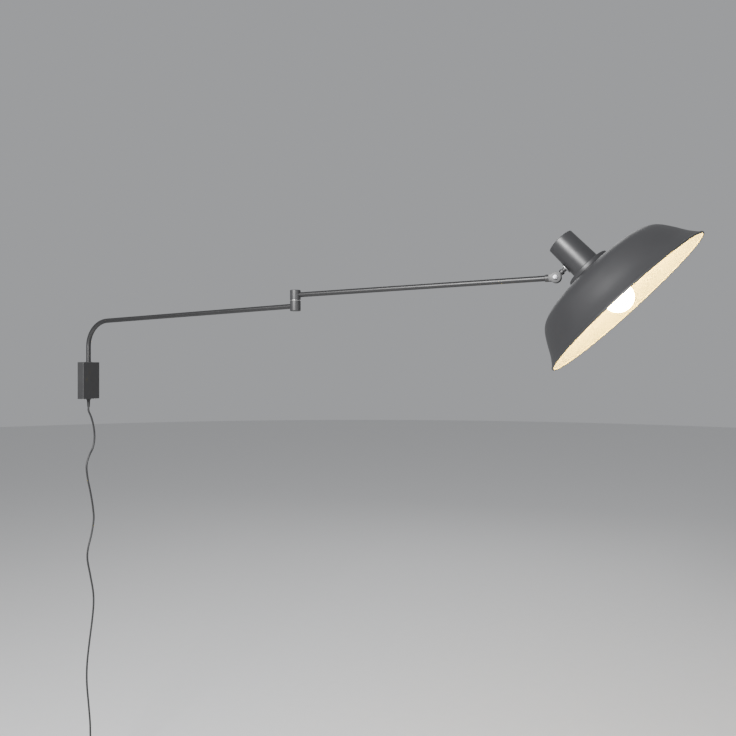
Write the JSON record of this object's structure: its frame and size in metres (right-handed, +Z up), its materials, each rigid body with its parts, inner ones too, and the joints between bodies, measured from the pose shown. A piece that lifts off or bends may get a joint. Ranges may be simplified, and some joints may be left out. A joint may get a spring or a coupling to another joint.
{
  "type": "swing arm wall sconce",
  "caption": "Wall light with a shallow wall box, jointed tubular swing arms, and a wide spun shade on a tilting side stem, with a hanging mains cord.",
  "frame": {"origin": "middle of the wall bracket's back face, where the sconce meets the wall", "axes": "+X out of the wall, along the arms at rest; +Y to the far side; +Z up"},
  "size_m": [1.5309, 0.3794, 1.4255],
  "materials": {
    "powder_coat": "matt anthracite powder coat",
    "shade_coat": "matt anthracite powder coat outside, cream-white inside the shade",
    "zinc_steel": "zinc plated",
    "block_alloy": "machined",
    "bright_steel": "bright, satin",
    "nylon": "black nylon",
    "black_plastic": "moulded, fine texture",
    "cord_sheath": "smooth matt sheath",
    "holder_plastic": "moulded black thermoset",
    "terminal_plastic": "moulded",
    "brass": "plain",
    "lamp_cap": "pressed thread",
    "cap_insulator": "moulded",
    "opal_glass": "opal, lit"
  },
  "bodies": {
    "wall_unit": {"wall_bracket": "zinc_steel", "wall_box": "powder_coat", "pivot_block": "block_alloy", "block_screw_1": "zinc_steel", "block_screw_2": "zinc_steel", "block_screw_3": "zinc_steel", "block_screw_4": "zinc_steel", "swivel_bushing": "nylon", "terminal_block": "terminal_plastic", "cable_gland": "black_plastic", "gland_nut": "black_plastic", "cover_screw_left": "zinc_steel", "cover_screw_right": "zinc_steel", "cord": "cord_sheath", "cord_coil": "cord_sheath", "cord_tie": "black_plastic", "plug_body": "black_plastic", "plug_pin_left": "zinc_steel", "plug_pin_right": "zinc_steel"},
    "lower_arm": {"lower_arm_tube": "powder_coat", "stop_ring": "zinc_steel", "stop_ring_screw": "zinc_steel", "lower_arm_wire": "cord_sheath", "elbow_lower_sleeve": "powder_coat", "elbow_lower_cap": "powder_coat", "elbow_bolt": "zinc_steel", "elbow_washer": "bright_steel", "elbow_spring_washer": "zinc_steel", "elbow_nut": "zinc_steel"},
    "upper_arm": {"elbow_upper_sleeve": "powder_coat", "elbow_upper_cap": "powder_coat", "upper_arm_tube": "powder_coat", "upper_arm_wire": "cord_sheath", "tilt_fork": "powder_coat", "tilt_washer_near": "nylon", "tilt_washer_far": "nylon", "tilt_screw": "bright_steel", "tilt_nut": "bright_steel"},
    "head_link": {"head_link": "powder_coat", "link_set_screw": "zinc_steel"},
    "head": {"swivel_nipple": "powder_coat", "cup_washer": "bright_steel", "cup_lock_nut": "zinc_steel", "socket_cup": "shade_coat", "carrier_plate": "zinc_steel", "nipple_nut": "zinc_steel", "holder_nipple": "zinc_steel", "holder_back": "holder_plastic", "lamp_holder": "holder_plastic", "holder_contact": "brass", "holder_ring": "holder_plastic", "shade_collar": "shade_coat", "shade": "shade_coat", "bulb_cap": "lamp_cap", "bulb_contact": "cap_insulator", "bulb_glass": "opal_glass"}
  },
  "joints": [
    {"name": "wall_swivel", "type": "hinge", "parent": "wall_unit", "child": "lower_arm", "pos_m": [0.011, 0, 0], "axis": [0, 0, 1], "range_deg": [-85, 85]},
    {"name": "elbow_swivel", "type": "hinge", "parent": "lower_arm", "child": "upper_arm", "pos_m": [0.654, 0, 0.19429], "axis": [0, 0, 1], "range_deg": [-150, 150]},
    {"name": "head_tilt", "type": "hinge", "parent": "upper_arm", "child": "head_link", "pos_m": [1.258, 0, 0.21826], "axis": [0, 1, 0], "range_deg": [-55, 70]},
    {"name": "head_turn", "type": "hinge", "parent": "head_link", "child": "head", "pos_m": [1.258, 0, 0.21826], "axis": [0.7314, 0, 0.682], "range_deg": [-90, 90]}
  ]
}
